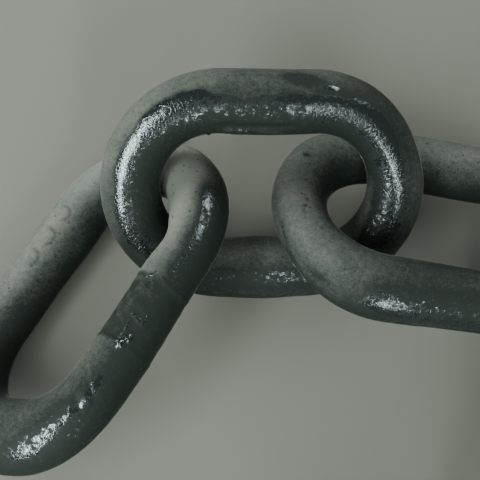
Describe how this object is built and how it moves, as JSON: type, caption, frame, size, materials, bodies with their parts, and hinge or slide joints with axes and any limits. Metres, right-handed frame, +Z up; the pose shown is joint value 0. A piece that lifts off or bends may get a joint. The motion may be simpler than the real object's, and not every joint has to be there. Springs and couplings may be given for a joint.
{
  "type": "iron chain",
  "caption": "Length of heavy plain iron chain lying loose on the floor, its long round-bar links threaded together and leaning alternately to either side.",
  "frame": {"origin": "on the floor, under the middle of the chain's box", "axes": "+Z up; +X along the chain's longest run, from the free end that the picture shows towards the links beyond it"},
  "size_m": [0.5348, 0.5106, 0.132],
  "materials": {
    "dark_iron": "worn dark iron, oily and pitted, dusty on top"
  },
  "bodies": {
    "root": {"first_link": "dark_iron", "second_link": "dark_iron", "third_link": "dark_iron", "fourth_link": "dark_iron", "fifth_link": "dark_iron", "sixth_link": "dark_iron"}
  },
  "joints": []
}
